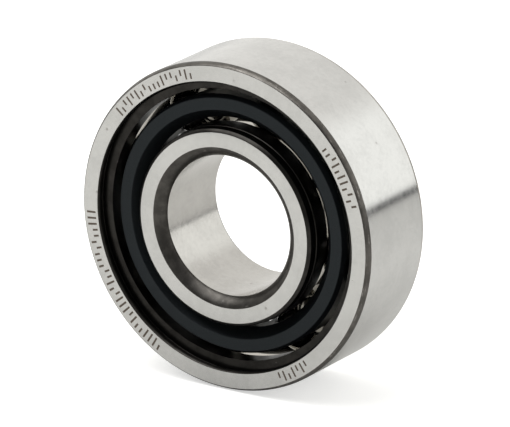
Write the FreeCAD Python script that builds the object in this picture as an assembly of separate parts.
"""Single-row deep-groove ball bearing, open on both sides, with a one-piece snap cage.

The bearing's axis is +Y and its origin is the centre of the bearing. The marked face looks along -Y.
Lengths are in millimetres. Every ring section is drawn in the plane of the axis, as points
(radius, distance along Y), and turned round the axis.
"""
import FreeCAD
import Part
import math
import os

# ---- driving dimensions ------------------------------------------------------------------------
outer_diameter = 35.0
bore_diameter = 15.0
width = 11.0
ball_diameter = 5.953
ball_count = 8
first_ball_angle = 31.6            # degrees from +X towards +Z

# ball grooves
groove_conformity = 0.52           # groove radius as a share of the ball's diameter
internal_clearance = 0.015         # radial gap between a centred ball and the bottom of each groove
outer_shoulder_height = 0.99       # from the bottom of the outer groove to its shoulder
inner_shoulder_height = 1.10

# outer ring
outer_chamfer_radial = 0.30
outer_chamfer_axial = 0.65
outer_chamfer_bulge = 0.06         # how far a rounded corner stands out from a straight chamfer
recess_step = 1.02                 # from the shoulder to the mouth of the seal recess
recess_depth = 1.28                # from the face to the shoulder
recess_lip_depth = 0.42            # the lead-in cone behind the face
recess_lip_height = 0.22           # how far the lip stands in from the mouth
recess_undercut = 0.22             # how far the groove behind the lip goes out past the mouth
recess_corner = 0.16               # slope that closes the groove at the lip

# inner ring
bore_chamfer_radial = 1.07
bore_chamfer_axial = 1.00
land_step = 0.10                   # the land beside the face is this much below the shoulder
land_length = 1.15                 # from the face to the step up to the shoulder
land_edge_radial = 0.32
land_edge_axial = 0.26
bore_chamfer_bulge = 0.12

# cage
cage_outer_gap = 0.70              # from the cage to the outer ring's shoulder
cage_thickness = 2.60              # across the cage, along the radius
pocket_clearance = 0.12            # round each ball
pocket_floor = 1.14                # plastic between a ball and the cage's closed side
closed_side_slope_radial = 1.00    # the closed side slopes back towards the inner ring
outer_slope_radial = 0.30          # and a little towards the outer ring
outer_slope_axial = 0.55
inner_rim = 0.24                   # plastic left there between the slope and a ball's pocket
cage_edge_fillet = 0.10            # moulded edges are never sharp
web_reach = 0.75                   # solid web between pockets, short of the balls' centres
horn_wall = 0.852                  # of a horn, outside its pocket
horn_reach = 1.55                  # how far the horns go past the balls' centres

# ---- sizes that follow from them ---------------------------------------------------------------
ball_step = 360 / ball_count
half_width = width / 2
outer_radius = outer_diameter / 2
bore_radius = bore_diameter / 2
ball_radius = ball_diameter / 2
pitch_radius = (outer_radius + bore_radius) / 2
groove_radius = groove_conformity * ball_diameter
outer_groove_bottom = pitch_radius + ball_radius + internal_clearance
inner_groove_bottom = pitch_radius - ball_radius - internal_clearance
outer_shoulder_radius = outer_groove_bottom - outer_shoulder_height
inner_shoulder_radius = inner_groove_bottom + inner_shoulder_height
recess_mouth_radius = outer_shoulder_radius + recess_step
cage_outer_radius = outer_shoulder_radius - cage_outer_gap
cage_inner_radius = cage_outer_radius - cage_thickness
pocket_radius = ball_radius + pocket_clearance
cage_front = -(pocket_radius + pocket_floor)
rim_to_pitch = pitch_radius - cage_inner_radius
slope_end = -math.sqrt(pocket_radius ** 2 - rim_to_pitch ** 2) - inner_rim
horn_radius = pocket_radius + horn_wall

AXIS_POINT = FreeCAD.Vector(0, 0, 0)
AXIS = FreeCAD.Vector(0, 1, 0)


def point(radius, along):
    """A point of a ring section."""
    return FreeCAD.Vector(radius, along, 0)


def line(start, end):
    return Part.LineSegment(start, end).toShape()


def lines(points):
    """Straight edges through the points, in order."""
    return [line(start, end) for start, end in zip(points, points[1:])]


def arc(start, middle, end):
    return Part.Arc(start, middle, end).toShape()


def bulged(start, end, bulge):
    """A slightly rounded corner: an arc that stands `bulge` to the left of the line start-end."""
    along = end - start
    outward = FreeCAD.Vector(-along.y, along.x, 0)
    outward.normalize()
    return arc(start, (start + end) * 0.5 + outward * bulge, end)


def turned(edges):
    """The solid that a closed section makes when it is turned round the axis."""
    face = Part.Face(Part.Wire(edges))
    solid = face.revolve(AXIS_POINT, AXIS, 360)
    return Part.Solid(solid) if solid.ShapeType == "Shell" else solid


def groove_half_width(shoulder_height):
    """Half the width of a ball groove where it meets its shoulder."""
    return math.sqrt(groove_radius ** 2 - (groove_radius - shoulder_height) ** 2)


def mirrored(points):
    """The same points on the other side of the bearing, in the opposite order."""
    return [point(p.x, -p.y) for p in reversed(points)]


def outer_ring():
    """Ground outside and faces, a seal recess in each face and the outer ball groove."""
    edge = groove_half_width(outer_shoulder_height)
    recess_floor = half_width - recess_depth
    undercut_radius = recess_mouth_radius + recess_undercut
    lip_end = half_width - recess_lip_depth
    recess = [
        point(outer_shoulder_radius, edge),
        point(outer_shoulder_radius, recess_floor),
        point(undercut_radius, recess_floor),
        point(undercut_radius, lip_end - recess_corner),
        point(recess_mouth_radius - recess_lip_height, lip_end),
        point(recess_mouth_radius, half_width),
        point(outer_radius - outer_chamfer_radial, half_width),
    ]
    seat_end = point(outer_radius, half_width - outer_chamfer_axial)
    far_seat_end = point(outer_radius, -seat_end.y)
    far_recess = mirrored(recess)
    edges = lines(recess)
    edges.append(bulged(seat_end, recess[-1], -outer_chamfer_bulge))
    edges.append(line(seat_end, far_seat_end))
    edges.append(bulged(far_recess[0], far_seat_end, -outer_chamfer_bulge))
    edges += lines(far_recess)
    edges.append(arc(far_recess[-1], point(outer_groove_bottom, 0), recess[0]))
    return turned(edges)


def inner_ring():
    """Ground bore and faces, a low land beside each face and the inner ball groove."""
    edge = groove_half_width(inner_shoulder_height)
    land_radius = inner_shoulder_radius - land_step
    step_start = half_width - land_length
    land = [
        point(inner_shoulder_radius, edge),
        point(inner_shoulder_radius, step_start - land_step),
        point(land_radius, step_start),
        point(land_radius, half_width - land_edge_axial),
        point(land_radius - land_edge_radial, half_width),
        point(bore_radius + bore_chamfer_radial, half_width),
    ]
    bore_end = point(bore_radius, half_width - bore_chamfer_axial)
    far_bore_end = point(bore_radius, -bore_end.y)
    far_land = mirrored(land)
    edges = lines(land)
    edges.append(bulged(land[-1], bore_end, -bore_chamfer_bulge))
    edges.append(line(bore_end, far_bore_end))
    edges.append(bulged(far_bore_end, far_land[0], -bore_chamfer_bulge))
    edges += lines(far_land)
    edges.append(arc(far_land[-1], point(inner_groove_bottom, 0), land[0]))
    return turned(edges)


def sphere_on_pitch_circle(degrees, radius):
    """A sphere centred `degrees` from +X towards +Z, its poles on that radius and its seam to the rear."""
    angle = math.radians(degrees)
    radial = FreeCAD.Vector(math.cos(angle), 0, math.sin(angle))
    turn = FreeCAD.Rotation(AXIS, radial.cross(AXIS), radial, "ZXY")
    sphere = Part.makeSphere(radius)
    sphere.Placement = FreeCAD.Placement(radial * pitch_radius, turn)
    return sphere


def cage_band(end):
    """A plain ring of the cage's section, from its closed side to `end` along Y."""
    return turned(lines([
        point(cage_outer_radius, cage_front + outer_slope_axial),
        point(cage_outer_radius, end),
        point(cage_inner_radius, end),
        point(cage_inner_radius, slope_end),
        point(cage_inner_radius + closed_side_slope_radial, cage_front),
        point(cage_outer_radius - outer_slope_radial, cage_front),
        point(cage_outer_radius, cage_front + outer_slope_axial),
    ]))


def cage():
    """A closed ring on the marked side, with an open pocket and two horns for each ball."""
    half_step = ball_step / 2
    angles = [half_step + index * ball_step for index in range(ball_count)]
    horn_band = cage_band(horn_reach)
    body = cage_band(-web_reach)
    for angle in angles:
        body = body.fuse(horn_band.common(sphere_on_pitch_circle(angle, horn_radius)))
    for angle in angles:
        body = body.cut(sphere_on_pitch_circle(angle, pocket_radius))
    body = body.removeSplitter()
    body = body.makeFillet(min(cage_edge_fillet, horn_wall / 3), body.Edges)
    body.rotate(AXIS_POINT, AXIS, half_step - first_ball_angle)
    return body


def ball(index):
    return sphere_on_pitch_circle(first_ball_angle + index * ball_step, ball_radius)


def export(name, shape):
    solids = shape.Solids
    assert len(solids) == 1 and solids[0].isValid(), name
    solids[0].exportStep(f"parts/{name}.step")
    print(f"{name}: volume {solids[0].Volume:.2f} mm3")


os.makedirs("parts", exist_ok=True)
export("outer_ring", outer_ring())
export("inner_ring", inner_ring())
export("cage", cage())
for number in range(ball_count):
    export(f"ball_{number + 1}", ball(number))
